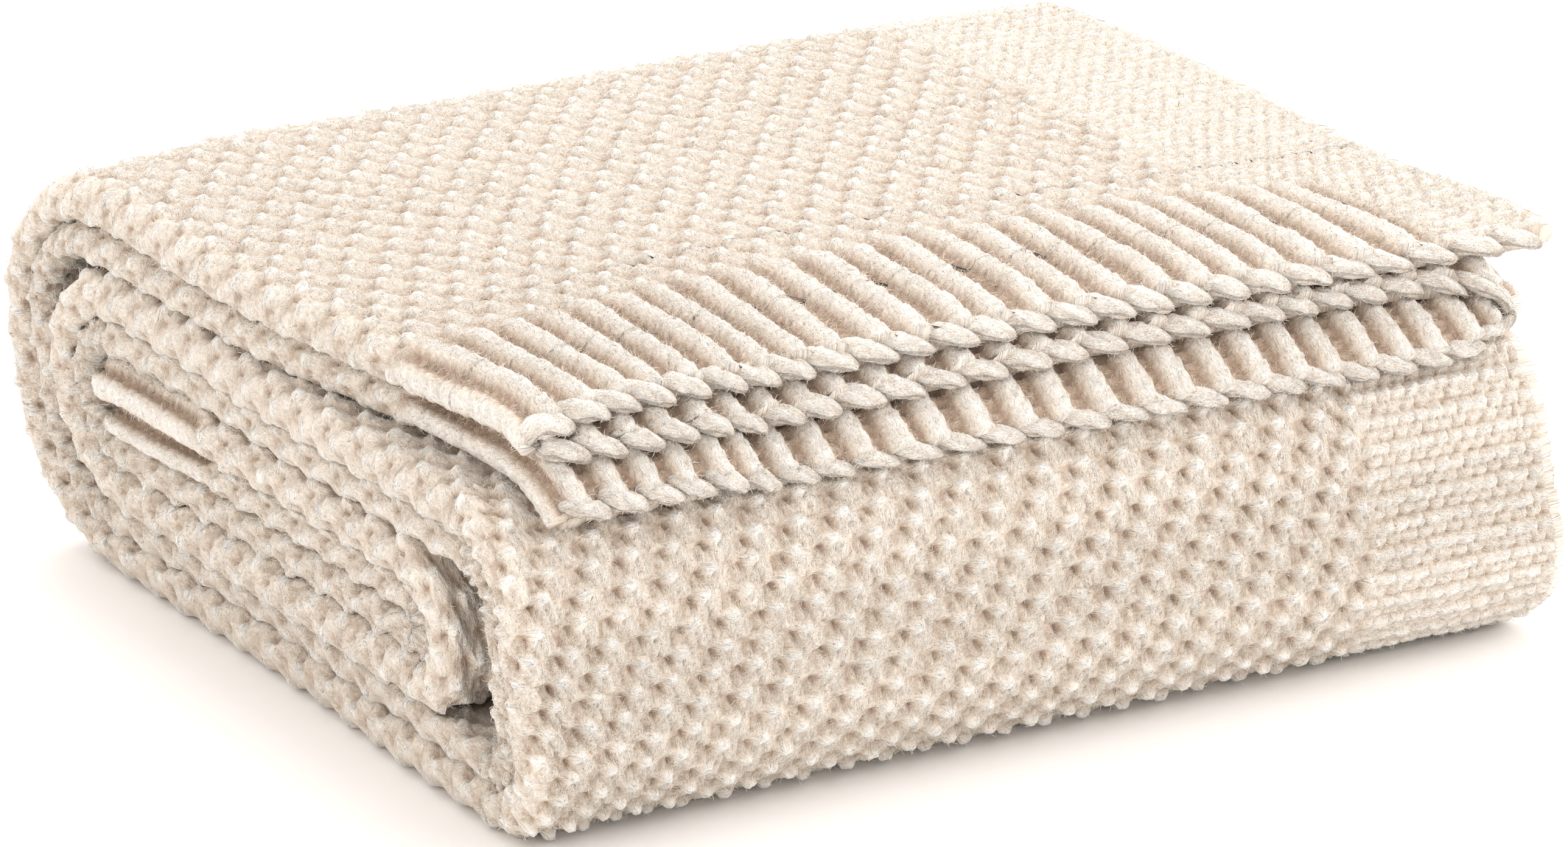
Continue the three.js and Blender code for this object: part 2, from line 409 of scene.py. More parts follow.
def garter(x, y):
    """Garter stitch: one ridge of small loops every two rows, with a valley between."""
    loop, ridge = 6.3, 9.6
    layers = []
    for shift in (-1, 0, 1):
        j = np.floor(y / ridge) + shift
        for half in (0.0, 0.5):
            i = np.round(x / loop - half)
            a, c = chance(i, j, 4 + half) - 0.5, chance(i, j, 5 + half)
            px = loop * (i + half) - x - 0.6 * a
            py = y - ridge * j + 0.35 * np.sin(x / 9.0 + j)
            if half == 0.0:
                bump = strand(px, py, (-1.5, 0.5), (1.3, -0.1), 1.9, 1.1 + 0.5 * c, 1.3 + 0.5 * c)
                layers.append((bump, 0.1))
                layers.append((strand(px, py, (-1.7, 1.8), (-1.0, 4.6), 1.2, 0.3, -0.5), 1.0))
                layers.append((strand(px, py, (1.6, 1.6), (1.3, 4.6), 1.2, 0.3, -0.5), 1.0))
            else:
                bump = strand(px, py, (-1.3, 4.9), (1.3, 4.5), 1.7, 0.35 + 0.4 * c, 0.45 + 0.4 * c)
                layers.append((bump, 0.2))
                layers.append((strand(px, py, (-1.0, 6.2), (-1.2, 8.6), 1.2, -0.6, -0.8), 1.0))
                layers.append((strand(px, py, (1.2, 6.2), (1.0, 8.6), 1.2, -0.6, -0.8), 1.0))
    return pile(layers, -1.7)


def rib(x, y):
    """1x1 rib: cords of knit stitches with deep grooves crossed by short bars between them."""
    cord = 2 * stitch
    i = np.round(x / cord)
    j0 = np.floor(y / row)
    sway = 0.9 * np.sin(y / 17.0 + 5.0 * chance(i, 0 * i, 8)) + 1.4 * (chance(i, 0 * i, 9) - 0.5)
    px = x - cord * i - sway
    layers = [(strand(px, 0 * px, (0.0, -1.0), (0.0, 1.0), 3.9, 1.7, 1.7), 1.0)]
    for shift in (-1, 0, 1):
        j = j0 + shift
        py = y - row * (j + 0.5) - 0.9 * (chance(i, j, 6) - 0.5)
        lift = 0.6 * chance(i, j, 7)
        layers.append((strand(px, py, (-3.3, -2.6), (-0.9, 2.4), 1.75, 0.9 + lift, 2.2 + lift), 0.75))
        layers.append((strand(px, py, (3.3, -2.6), (0.9, 2.4), 1.75, 0.9 + lift, 2.2 + lift), 0.75))
        side = np.where(px > 0, 1.0, -1.0)
        bar_x = px - side * cord / 2
        layers.append((strand(bar_x, py, (-3.4, 0.5), (3.4, -0.5), 1.6, -1.4, -1.4), 0.0))
    return pile(layers, -3.3)


def chain(y):
    """The slipped edge stitches: a plump link every two rows."""
    j = np.round(y / (2 * row))
    py = y - 2 * row * j
    return 2.9 * np.sqrt(np.maximum(0, 1 - (py / 5.25) ** 2)) - 1.3 + 0.6 * chance(j, 0 * j, 10)


# The cords of the rib run so that one lies on each fold at the left
cord_at_fold = np.interp(fold_left_1, line_u, outer_length)
past_cord = (np.interp(fold_left_2, line_u, outer_length) - cord_at_fold + stitch) % (2 * stitch) - stitch


def knit(u, v, side):
    """Relief of the cloth at u and v on either side, the way its fibres run, and the level of its painted
    shade.
    """
    outside = np.interp(u, line_u, outer_length)
    inside = np.interp(u, line_u, inner_length) + stitch
    across = np.where(side >= 0, outside, inside)
    y = np.interp(v, row_v, row_run) + np.where(side >= 0, 0.0, row)
    body = ease(np.minimum(v, total_length - v), cuff - 4, cuff + 5)
    margin = cuff_band + (band - cuff_band) * body
    cloth = ease(np.minimum(u, cloth_width - u + far_band_less), margin - 2.5, margin + 2.5)
    ribbed = cloth * (1 - body)
    from_band = across - band
    cords = across - cord_at_fold - past_cord * ease(u, fold_right, fold_left_2)
    height, grain = np.zeros(u.shape), np.zeros(u.shape)
    for share, worked, x in (
        (1 - cloth, garter, from_band),
        (ribbed, rib, cords),
        (cloth * body, moss, from_band),
    ):
        here = share > 0.001
        if here.any():
            h, g = worked(x[here], y[here])
            height[here] += share[here] * h
            grain[here] += share[here] * g
    # painted shade level: higher knit is painted lighter, the garter bands painted lighter as light from the
    # right, the rib darker
    painted_shade_level = height + 0.4 * (1 - cloth) - 0.5 * ribbed
    # the inner end's cuff is pressed flat, and the flap's knit a little
    height -= 0.8 * ribbed * (v < total_length / 2)
    on_flap = ease(v, marks["crease"], marks["top_flap"])
    on_flap = on_flap * (1 - ease(v, marks["flap_cuff"] - 10, marks["flap_cuff"] + 10))
    height *= 1 - 0.30 * on_flap
    tufts = fluff(across, y, 2.3, 31)
    height += 0.34 * tufts + 0.3 * fluff(across + 0.7 * y, y - 0.4 * across, 1.3, 32)
    height += 0.5 * fluff(across, y, 9.0, 33)
    # the tufts are painted lighter on their tops, as painted shade
    return height, grain, painted_shade_level + 0.5 * tufts


# ---------------------------------------------------------------------------------------------
# The yarn: thick acrylic, brushed so that its fibres stand up in a soft matt nap. It is painted
# darker and warmer down between the strands, as painted shade, and loose fibres stand out all over it.
# ---------------------------------------------------------------------------------------------
def make_fibre_group():
    """Fine hairs lying across or along the strands, as a value for bump and colour."""
    tree = bpy.data.node_groups.new("yarn_fibres", "ShaderNodeTree")
    for name, way in (("Grain", "INPUT"), ("Fibres", "OUTPUT"), ("Clumps", "OUTPUT")):
        tree.interface.new_socket(name=name, in_out=way, socket_type="NodeSocketFloat")
    n, l = tree.nodes, tree.links
    inside, outside = n.new("NodeGroupInput"), n.new("NodeGroupOutput")
    uv = n.new("ShaderNodeUVMap")
    uv.uv_map = "cloth"
    wobble = n.new("ShaderNodeTexNoise")
    wobble.inputs["Scale"].default_value = 160.0
    wobble.inputs["Detail"].default_value = 1.0
    l.new(uv.outputs["UV"], wobble.inputs["Vector"])
    bend = n.new("ShaderNodeMix")
    bend.data_type = "VECTOR"
    bend.inputs["Factor"].default_value = 0.004
    l.new(uv.outputs["UV"], bend.inputs[4])
    l.new(wobble.outputs["Color"], bend.inputs[5])
    values = []
    for scale in ((420.0, 1900.0, 1.0), (1900.0, 420.0, 1.0)):
        place = n.new("ShaderNodeMapping")
        place.inputs["Scale"].default_value = scale
        l.new(bend.outputs[1], place.inputs["Vector"])
        hairs = n.new("ShaderNodeTexNoise")
        hairs.inputs["Scale"].default_value = 1.0
        hairs.inputs["Detail"].default_value = 3.0
        hairs.inputs["Roughness"].default_value = 0.65
        l.new(place.outputs["Vector"], hairs.inputs["Vector"])
        values.append(hairs)
    pick = n.new("ShaderNodeMix")
    l.new(inside.outputs["Grain"], pick.inputs["Factor"])
    l.new(values[0].outputs["Fac"], pick.inputs[2])
    l.new(values[1].outputs["Fac"], pick.inputs[3])
    l.new(pick.outputs[0], outside.inputs["Fibres"])
    clumps = n.new("ShaderNodeTexNoise")
    clumps.inputs["Scale"].default_value = 420.0
    clumps.inputs["Detail"].default_value = 4.0
    clumps.inputs["Roughness"].default_value = 0.7
    l.new(uv.outputs["UV"], clumps.inputs["Vector"])
    l.new(clumps.outputs["Fac"], outside.inputs["Clumps"])
    return tree


fibre_group = make_fibre_group()

yarn = bpy.data.materials.new("brushed_cream_yarn")
yarn.use_nodes = True
nodes, links = yarn.node_tree.nodes, yarn.node_tree.links
skin = nodes["Principled BSDF"]
skin.inputs["Roughness"].default_value = 0.92
skin.inputs["Specular IOR Level"].default_value = 0.25
skin.inputs["Sheen Weight"].default_value = 0.35
skin.inputs["Sheen Roughness"].default_value = 0.45
skin.inputs["Sheen Tint"].default_value = (1.0, 0.97, 0.93, 1.0)
relief_shade = nodes.new("ShaderNodeAttribute")
relief_shade.attribute_name = "relief_shade"
grain_value = nodes.new("ShaderNodeAttribute")
grain_value.attribute_name = "grain"
fibres = nodes.new("ShaderNodeGroup")
fibres.node_tree = fibre_group
links.new(grain_value.outputs["Fac"], fibres.inputs["Grain"])
# painted shade: the ramp paints the knit's hollows, where shadow falls, a dark warm brown and its crests
# cream
painted_shade_ramp = nodes.new("ShaderNodeValToRGB")
painted_shade_ramp.color_ramp.elements[0].position = 0.0
painted_shade_ramp.color_ramp.elements[0].color = (0.53, 0.385, 0.285, 1.0)
painted_shade_ramp.color_ramp.elements[1].position = 1.0
painted_shade_ramp.color_ramp.elements[1].color = (0.97, 0.937, 0.89, 1.0)
middle = painted_shade_ramp.color_ramp.elements.new(0.45)
middle.color = (0.84, 0.73, 0.62, 1.0)
links.new(relief_shade.outputs["Fac"], painted_shade_ramp.inputs["Fac"])
hair_shade = nodes.new("ShaderNodeMapRange")
hair_shade.inputs["From Min"].default_value = 0.3
hair_shade.inputs["From Max"].default_value = 0.72
hair_shade.inputs["To Min"].default_value = 0.74
hair_shade.inputs["To Max"].default_value = 1.14
links.new(fibres.outputs["Fibres"], hair_shade.inputs["Value"])
tinted = nodes.new("ShaderNodeVectorMath")
tinted.operation = "SCALE"
links.new(painted_shade_ramp.outputs["Color"], tinted.inputs[0])
links.new(hair_shade.outputs["Result"], tinted.inputs["Scale"])
links.new(tinted.outputs["Vector"], skin.inputs["Base Color"])
hair_bump = nodes.new("ShaderNodeBump")
hair_bump.inputs["Strength"].default_value = 0.9
hair_bump.inputs["Distance"].default_value = 0.0013
links.new(fibres.outputs["Fibres"], hair_bump.inputs["Height"])
clump_bump = nodes.new("ShaderNodeBump")
clump_bump.inputs["Strength"].default_value = 0.8
clump_bump.inputs["Distance"].default_value = 0.0024
links.new(fibres.outputs["Clumps"], clump_bump.inputs["Height"])
links.new(hair_bump.outputs["Normal"], clump_bump.inputs["Normal"])
links.new(clump_bump.outputs["Normal"], skin.inputs["Normal"])

# Loose fibres on the surface let light through, so they stay pale on every side
loose = bpy.data.materials.new("loose_fibre")
loose.use_nodes = True
tree = loose.node_tree
tree.nodes.remove(tree.nodes["Principled BSDF"])
facing_light, through = tree.nodes.new("ShaderNodeBsdfDiffuse"), tree.nodes.new("ShaderNodeBsdfTranslucent")
for part in (facing_light, through):
    part.inputs["Color"].default_value = (0.95, 0.895, 0.82, 1.0)
both = tree.nodes.new("ShaderNodeMixShader")
tree.links.new(facing_light.outputs[0], both.inputs[1])
tree.links.new(through.outputs[0], both.inputs[2])
tree.links.new(both.outputs[0], tree.nodes["Material Output"].inputs["Surface"])

# ---------------------------------------------------------------------------------------------
# The core: the inner end of the knitted throw, from its ribbed cuff to the fold at its front. It is
# a stretch of the one cloth, with all its plies, and shows only its folded edges. No stitch or pin
# holds it: it lies where it is folded.
# ---------------------------------------------------------------------------------------------


def settle(p):
    """The bundle's soft slump and unevenness, in millimetres: all that lies near a place moves with it."""
    x, y, z = p[..., 0], p[..., 1], p[..., 2]
    bundle_height, crown_x, crown_y = 151.0, 210.0, 190.0
    up = np.clip(z / bundle_height, 0, 1.05)
    sunk = (1 - up) ** 2
    to_left, to_right = ease(-x, 120, 205), ease(x, 120, 205)
    mid_depth = 1 - (y / crown_y) ** 2
    out = p.copy()
    # the top is crowned, and sags at the left of the back
    crown = 9.5 * (1 - (x / crown_x) ** 2 * (1 - 0.3 * to_right)) * mid_depth
    sag = 7.0 * to_left * ease(y, 90, 186)
    out[..., 2] = z + up * (crown - sag + 1.4 * y / 180 + 1.5 * ripple(x / 55.0, y / 60.0, 11))
    # the back spreads a little on the table
    wander = 1.8 * ripple(x / 60.0, z / 30.0, 12) * ease(np.abs(y), 90, 175)
    out[..., 1] = y + wander + 9.0 * ease(y, 60, 180) * sunk
    # the left end draws in toward the table and bulges above it; the right end is fuller in front
    bulge = 5.0 * np.sin(np.pi * np.clip(up, 0, 1)) * ease(y, 20, 140)
    wander = 2.0 * ripple(y / 45.0, z / 14.0, 13) * ease(np.abs(x), 120, 200)
    out[..., 0] = x + wander + to_left * (14.5 * sunk - bulge)
    at_top = 4.0 * ease(up, 0.8, 1) * mid_depth
    in_front = 4.0 * ease(-y, 120, 180) * (1 - ease(up, 0.6, 0.9))
    out[..., 0] += to_right * (at_top + in_front)
    return out


def lay_down(x, h, v, u):
    """Where a point of the cloth comes to lie: x across, h above the strip's middle, u and v on the cloth."""
    outer_ply = 1 - ease(u, fold_left_1 - 60, fold_left_1 + 60)
    brim = left + half_strip / 2
    x = np.where(x < brim, brim + (x - brim) * 0.92, x) - 0.6 * ease(-x, 120, 200)
    # at the left the outer fold is the fuller one, and the inner fold lies a little behind it
    at_left = ease(-x, 178, 200)
    x = x + 2.2 * at_left * ease(-h, -3, 4)
    h = h - 1.8 * at_left * (1 - (h / half_strip) ** 2)
    # neither end of the bundle is quite straight
    left_drift = 3.0 * ripple(v / 38.0, 0 * v, 21) * ease(-x, 80, 200)
    right_drift = 2.5 * ripple(v / 45.0, 0 * v, 22) * ease(x, 80, 200)
    x = x + left_drift + right_drift
    # toward the cuff's edge the left corner is drawn in, and the flap's tip stands out at the right
    x = x + 19.0 * ease(v, marks["flap_cuff"] - 120, marks["brink"] + 20) * ease(-x, 60, 205)
    near_edge = ease(v, marks["flap_cuff"] - 20, marks["brink"] + 10)
    x = x + 12.5 * near_edge * outer_ply * ease(x, 100, 205)
    # the cloth under the tip is drawn in
    under_tip = ease(v, face_start - 190, face_start - 40)
    under_tip = under_tip * (1 - ease(v, face_start + 10, face_start + 90))
    inner_cuff = ease(v, marks["flap_cuff"], marks["brink"]) * (1 - outer_ply)
    x = x - (11.0 * under_tip + 9.0 * inner_cuff) * ease(x, 80, 205)
    place, way = path(v)
    spot = np.stack([x, place[..., 0] + h * way[..., 1], place[..., 1] - h * way[..., 0]], -1)
    spot = settle(spot.reshape(-1, 3))
    lowest = 0.3
    spot[:, 2] = np.maximum(spot[:, 2], lowest)
    return spot


def shape_mesh(name, places, faces, shade, grain, uv):
    """A closed mesh from its points, its faces and what the yarn reads from each point."""
    mesh = bpy.data.meshes.new(name)
    mesh.from_pydata((places * 0.001).tolist(), [], faces)
    for title, values in (("relief_shade", shade), ("grain", grain)):
        made = mesh.attributes.new(title, "FLOAT", "POINT")
        made.data.foreach_set("value", values.astype(np.float32))
    corners = np.empty(len(mesh.loops), dtype=np.int64)
    mesh.loops.foreach_get("vertex_index", corners)
    flat_places = (uv[corners] * 0.001).astype(np.float32)
    mesh.uv_layers.new(name="cloth").data.foreach_set("uv", flat_places.ravel())
    mesh.polygons.foreach_set("use_smooth", np.ones(len(mesh.polygons), dtype=bool))
    mesh.update()
    piece = bpy.data.objects.new(name, mesh)
    bpy.context.collection.objects.link(piece)
    piece.data.materials.append(yarn)
    return piece


def face_outward(piece):
    """Turns every face of a closed mesh to the outside."""
    bpy.ops.object.select_all(action="DESELECT")
    bpy.context.view_layer.objects.active = piece
    piece.select_set(True)
    bpy.ops.object.mode_set(mode="EDIT")
    bpy.ops.mesh.select_all(action="SELECT")
    bpy.ops.mesh.normals_make_consistent(inside=False)
    bpy.ops.object.mode_set(mode="OBJECT")


def tube(rings, sides):
    """The four-sided faces of a tube whose points are numbered ring by ring."""
    ids = np.arange(rings * sides).reshape(rings, sides)
    a, b = ids[:-1], ids[1:]
    return np.stack([a, np.roll(a, -1, 1), np.roll(b, -1, 1), b], -1).reshape(-1, 4)


open_skin = {}  # for each piece, the points of its open knit


def nap(piece, count, seed, longest=4.2):
    """Loose hairs standing out of a piece's open knit: fine closed needles, a few millimetres long."""
    rng = np.random.default_rng(seed)
    mesh = piece.data
    places, normals = np.empty((2, len(mesh.vertices) * 3), dtype=np.float32)
    mesh.vertices.foreach_get("co", places)
    mesh.vertices.foreach_get("normal", normals)
    pick = rng.choice(open_skin[piece.name], count)
    hairs = len(pick)
    size = (hairs, 3)
    root, up = places.reshape(-1, 3)[pick] * 1000.0, normals.reshape(-1, 3)[pick]

    def unit(a):
        return a / np.maximum(np.linalg.norm(a, axis=1, keepdims=True), 1e-6)

    # each hair leans its own way and bends once at its middle
    flat = rng.normal(size=size)
    flat = unit(flat - (flat * up).sum(1, keepdims=True) * up)
    way = unit(up + flat * rng.uniform(0.4, 2.2, (hairs, 1)))
    length = longest * rng.uniform(0.25, 1.0, (hairs, 1)) ** 1.2
    root = root + rng.normal(size=size) * 0.3 - up * 0.3
    middle = root + way * length * 0.5
    tip = middle + unit(way + 0.7 * rng.normal(size=size) - 0.5 * up) * length * 0.5
    e1 = unit(np.cross(way, rng.normal(size=size)))
    e2 = np.cross(way, e1)
    points = []
    root_radius, middle_radius, third_of_turn = 0.14, 0.11, 2.0944
    for centre, radius in ((root, root_radius), (middle, middle_radius)):
        for corner in range(3):
            a = corner * third_of_turn
            points.append(centre + radius * (math.cos(a) * e1 + math.sin(a) * e2))
    points = np.stack(points + [tip], 1)
    lowest = 0.4
    points[..., 2] = np.maximum(points[..., 2], lowest)
    foot = [(0, 2, 1)]
    shaft = [(0, 1, 4), (0, 4, 3), (1, 2, 5), (1, 5, 4), (2, 0, 3), (2, 3, 5)]
    point = [(3, 4, 6), (4, 5, 6), (5, 3, 6)]
    corners = 7
    faces = np.array(foot + shaft + point)[None] + corners * np.arange(hairs)[:, None, None]
    shade = np.repeat(rng.uniform(0.72, 1.0, hairs), corners)
    spread = np.repeat(rng.uniform(0, 400, (hairs, 2)), corners, axis=0)
    grain = np.full(hairs * corners, 0.5)
    name = piece.name.replace("_cloth", "") + "_nap"
    fuzz = shape_mesh(name, points.reshape(-1, 3), faces.reshape(-1, 3).tolist(), shade, grain, spread)
    fuzz.data.materials[0] = loose
    return fuzz


def sweep(name, v0, v1, v_step, knitted, u_step, ends=None):
    """The cloth from v0 to v1 of the strip, closed at both ends. Where given, ends(u) says how far
    along the strip each ply comes to lie, and the knit up to v1 is fitted into that length."""
    outline = ring(knitted, u_step)
    count = len(outline)
    rings = max(2, round((v1 - v0) / v_step)) + 1
    u, side, shows, is_open = outline.T
    x = np.interp(u, line_u, line_x)
    h = np.interp(u, line_u, line_h)
    dx = np.interp(u, line_u, line_dx)
    dh = np.interp(u, line_u, line_dh)
    thick = np.interp(u, line_u, line_thick)
    nx, nh = dh * side, -dx * side
    edge = np.abs(side) < 1
    bulge = np.sqrt(np.maximum(0, 1 - side ** 2))
    outward = np.where(u > 1, 1.0, -1.0)  # along the cloth, away from its free edge
    share = np.linspace(0, 1, rings)[:, None]
    if ends:
        v = v0 + (ends(u)[None, :] - v0) * share
        cloth_v = v0 + (v1 - v0) * share + 0 * v
    else:
        v = v0 + (v1 - v0) * share + 0 * u[None, :]
        cloth_v = v
    uu = np.broadcast_to(u, v.shape)
    ss = np.broadcast_to(side, v.shape)
    height, grain, painted_shade_level = knit(uu, cloth_v, ss)
    height = height * shows
    # the outer side is pressed flatter, and swells a little, round the folds at the left
    height = height * np.where(~edge & (ss > 0), 1 - 0.30 * ease(-x, 193, 203), 1.0)
    swell = np.where(shows > 0, -0.5, 0.0) + 0.45 * ease(-x, 188, 202) * (shows > 0)
    away = np.where(edge, 0.0, thick / 2 + height + swell)
    # the free edge's own half round stands square to the cloth
    link = chain(np.interp(cloth_v, row_v, row_run))
    round_out = bulge * (thick / 2 + link)
    across = np.where(edge, side * thick / 2, 0.0)
    px = x + nx * away + dx * outward * round_out + dh * across
    ph = h + nh * away + dh * outward * round_out - dx * across
    points = lay_down(px, ph, v, uu)
    # both ends are closed with a strip of triangles between the two sides of the cloth
    outer = [i for i in range(count) if side[i] >= 1]
    inner = [i for i in range(count) if side[i] <= -1][::-1]
    far = [i for i in range(count) if edge[i] and u[i] > 1]
    near = [i for i in range(count) if edge[i] and u[i] < 1]

    def cap(base, flip):
        made = []
        i = j = 0
        while i < len(outer) - 1 or j < len(inner) - 1:
            step_outer = i < len(outer) - 1
            if step_outer and j < len(inner) - 1:
                step_outer = u[outer[i + 1]] <= u[inner[j + 1]]
            if step_outer:
                made.append([outer[i], inner[j], outer[i + 1]])
                i += 1
            else:
                made.append([outer[i], inner[j], inner[j + 1]])
                j += 1
        for chained in ([outer[-1]] + far + [inner[-1]], [inner[0]] + near + [outer[0]]):
            for k in range(1, len(chained) - 1):
                made.append([chained[0], chained[k + 1], chained[k]])
        return [[base + q for q in (t[::-1] if flip else t)] for t in made]

    faces = tube(rings, count).tolist() + cap(0, False) + cap((rings - 1) * count, True)
    # painted shade: hollows dark and crests light, the edge's links lighter on their crests, cloth lying
    # against other cloth a mid painted shade
    shade = np.clip((painted_shade_level + 2.0) / 4.4, 0, 1)
    shade = np.where(edge, 0.38 + 0.19 * link, shade)
    shade = np.where(shows > 0, shade, 0.35)
    uv = np.stack([uu, cloth_v], -1).reshape(-1, 2)
    open_skin[name] = np.flatnonzero((is_open > 0)[None, :].repeat(rings, 0))
    piece = shape_mesh(name, points, faces, shade.ravel(), grain.ravel(), uv)
    face_outward(piece)
    return piece


def nodes_of(*starts):
    return [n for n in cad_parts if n.startswith(starts)]


fine = 1.25  # between the mesh's points, on knit seen from close by
in_sight, well_in_sight = 18.0, 22.0  # how far from a fold its knit is modelled
second_fold = (fold_left_2 - in_sight, fold_left_2 + in_sight)
left_folds = ((fold_left_1 - well_in_sight, fold_left_1 + in_sight), second_fold)
right_fold = ((fold_right - well_in_sight, fold_right + well_in_sight),)
selvedge = ((0, 26),)

end = marks["lower_turn"]
core = sweep("core_cloth", 0.0, end, 1.3 * fine, {1: left_folds + selvedge, -1: right_fold}, fine)
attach(core, "bundle")
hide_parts(*nodes_of("core_", "inner_front_fold"))
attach(nap(core, 6000, 101), "bundle")

# ---------------------------------------------------------------------------------------------
# The lower turn: the throw's moss stitch, folded back under the core and up round its end. It
# carries the core, and only its folded edges show at the two ends of the bundle.
# ---------------------------------------------------------------------------------------------
begin, end = marks["lower_turn"], marks["upper_turn"]
shows = {1: left_folds + selvedge, -1: right_fold}
nested = sweep("lower_turn_cloth", begin, end, 1.35 * fine, shows, fine)
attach(nested, "bundle")
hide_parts(*nodes_of("lower_turn", "inner_back_fold"))
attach(nap(nested, 8000, 102), "bundle")

# ---------------------------------------------------------------------------------------------
# The upper turn: the same knit, folded forward over the core. It lies on the core by its weight,
# and its face comes into view when the flap is lifted.
# ---------------------------------------------------------------------------------------------
outer_face = ((0, fold_left_1 + in_sight), second_fold)
face_and_fold = {1: outer_face, -1: right_fold}
begin, end = marks["upper_turn"], marks["front_fold"]
upper = sweep("upper_turn_cloth", begin, end, 1.5 * fine, face_and_fold, 1.5 * fine)
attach(upper, "bundle")
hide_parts(*nodes_of("upper_turn"))
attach(nap(upper, 2500, 103), "bundle")

# ---------------------------------------------------------------------------------------------
# The front face: a deep rounded fold that wraps the front of the bundle from top to bottom, moss
# stitch with the garter band and its slipped selvedge at the right. Its own thickness holds it round.
# ---------------------------------------------------------------------------------------------
begin, end = marks["front_fold"], marks["bottom_turn"]
face = sweep("front_fold_cloth", begin, end, 0.78 * fine, face_and_fold, 0.78 * fine)
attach(face, "bundle")
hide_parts(*nodes_of("front_fold"))
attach(nap(face, 15000, 104), "bundle")

# ---------------------------------------------------------------------------------------------
# The bottom turn: the knit that lies on the table, pressed flat by the weight of the other turns,
# and carries all of them.
# ---------------------------------------------------------------------------------------------
begin, end = marks["bottom_turn"], marks["back_fold"]
under = sweep("bottom_turn_cloth", begin, end, 2 * fine, face_and_fold, 1.6 * fine)
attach(under, "bundle")
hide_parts(*nodes_of("bottom_turn"))
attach(nap(under, 1500, 105), "bundle")

# ---------------------------------------------------------------------------------------------
# The back fold's lower half: the same knit, bent up from the table round the back of the bundle.
# It stays with the bundle when the flap is lifted.
# ---------------------------------------------------------------------------------------------
begin, end = marks["back_fold"], marks["crease"]
heel_cloth = sweep("back_fold_cloth", begin, end, fine, face_and_fold, fine)
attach(heel_cloth, "bundle")
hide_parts(*nodes_of("back_fold_low"))
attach(nap(heel_cloth, 3500, 106), "bundle")

# ---------------------------------------------------------------------------------------------
# The crease: the back fold's upper half, where the flap turns. The knit is soft here; this piece is
# attached to neither the bundle nor the flap.
# ---------------------------------------------------------------------------------------------
coarser, border_covers = 1.8, 68.0  # where the knit lies against other cloth until the flap lifts
tucked_under = (fold_left_2 + in_sight, cloth_width, coarser)
inner_face = (fold_right + well_in_sight, fold_left_2 - border_covers, coarser)
flap_sides = {1: outer_face + (tucked_under,), -1: right_fold + (inner_face,)}
begin, end = marks["crease"], marks["top_flap"]
bending = sweep("crease_cloth", begin, end, fine, flap_sides, fine)
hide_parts(*nodes_of("back_fold_high", "flap_crease"))
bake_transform(bending)
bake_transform(nap(bending, 6000, 107))

# ---------------------------------------------------------------------------------------------
# The flap on top: moss stitch, with the garter band and the slipped selvedge at the right and its
# folded edge at the left. It lies loose on the upper turn and lifts about the crease.
# ---------------------------------------------------------------------------------------------
hinge_room = 25.0
flap_end = marks["flap_cuff"] - hinge_room
flap_middle = (marks["top_flap"] + flap_end) / 2
for name, begin, end, seed in (
    ("top_flap_rear_cloth", marks["top_flap"], flap_middle, 108),
    ("top_flap_front_cloth", flap_middle, flap_end, 112),
):
    flap = sweep(name, begin, end, fine, flap_sides, fine)
    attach(flap, "flap")
    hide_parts(*nodes_of("top_flap"))
    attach(nap(flap, 7000, seed), "flap")

# ---------------------------------------------------------------------------------------------
# The cuff's head: the flap's last rows and the start of the 1x1 ribbing knitted on from them, where
# the cuff bends over the front edge. It is soft, and attached to neither the flap nor the cuff.
# ---------------------------------------------------------------------------------------------
cuff_split = marks["flap_cuff"] + 30.0
cuff_head = sweep("cuff_head_cloth", flap_end, cuff_split, fine, flap_sides, fine)
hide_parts(*nodes_of("flap_cuff"))
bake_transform(cuff_head)
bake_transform(nap(cuff_head, 7000, 109))

# ---------------------------------------------------------------------------------------------
# The cuff's edge: the rest of the ribbing, drooping over the front face. Each inner ply reaches
# further round than the one above it, so the plies end one below the other like steps.
# ---------------------------------------------------------------------------------------------


def end_of_ply(u):
    """How far along the strip the cloth's bound-off end lies: each ply reaches further round."""
    stops = [marks["brink"] + math.radians(a) * (front_line + turn) for a in edge_angles]
    reach = np.full(u.shape, stops[0])
    for fold, before, stop in zip(folds, stops, stops[1:]):
        reach = reach + (stop - before) * ease(u, fold - 40, fold + 40)
    # the second ply lies closer under the first toward the right, the third a little lower
    under = ease(u, fold_right - 30, fold_right + 30)
    closer = 8.0 * ease(u, fold_left_1, fold_right) * (1 - under)
    lower = 3.5 * (1 - ease(u, fold_right, fold_left_2)) * under
    return reach - closer + lower


show_cuff = {
    1: ((0, fold_left_1 + in_sight), (fold_right - well_in_sight, fold_left_2 + in_sight), tucked_under),
    -1: ((fold_left_1 - well_in_sight, fold_right + well_in_sight), inner_face),
}
cuff_edge = sweep("cuff_edge_cloth", cuff_split, total_length, 1.1 * fine, show_cuff, 1.15 * fine, end_of_ply)
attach(cuff_edge, "cuff")
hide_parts(*nodes_of("flap_cuff"))
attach(nap(cuff_edge, 11000, 110), "cuff")

# ---------------------------------------------------------------------------------------------
# The bind-off: the last loops of the ribbing drawn over one another along each ply's end, so that
# every cord turns over into one slanting link of the same yarn.
# ---------------------------------------------------------------------------------------------


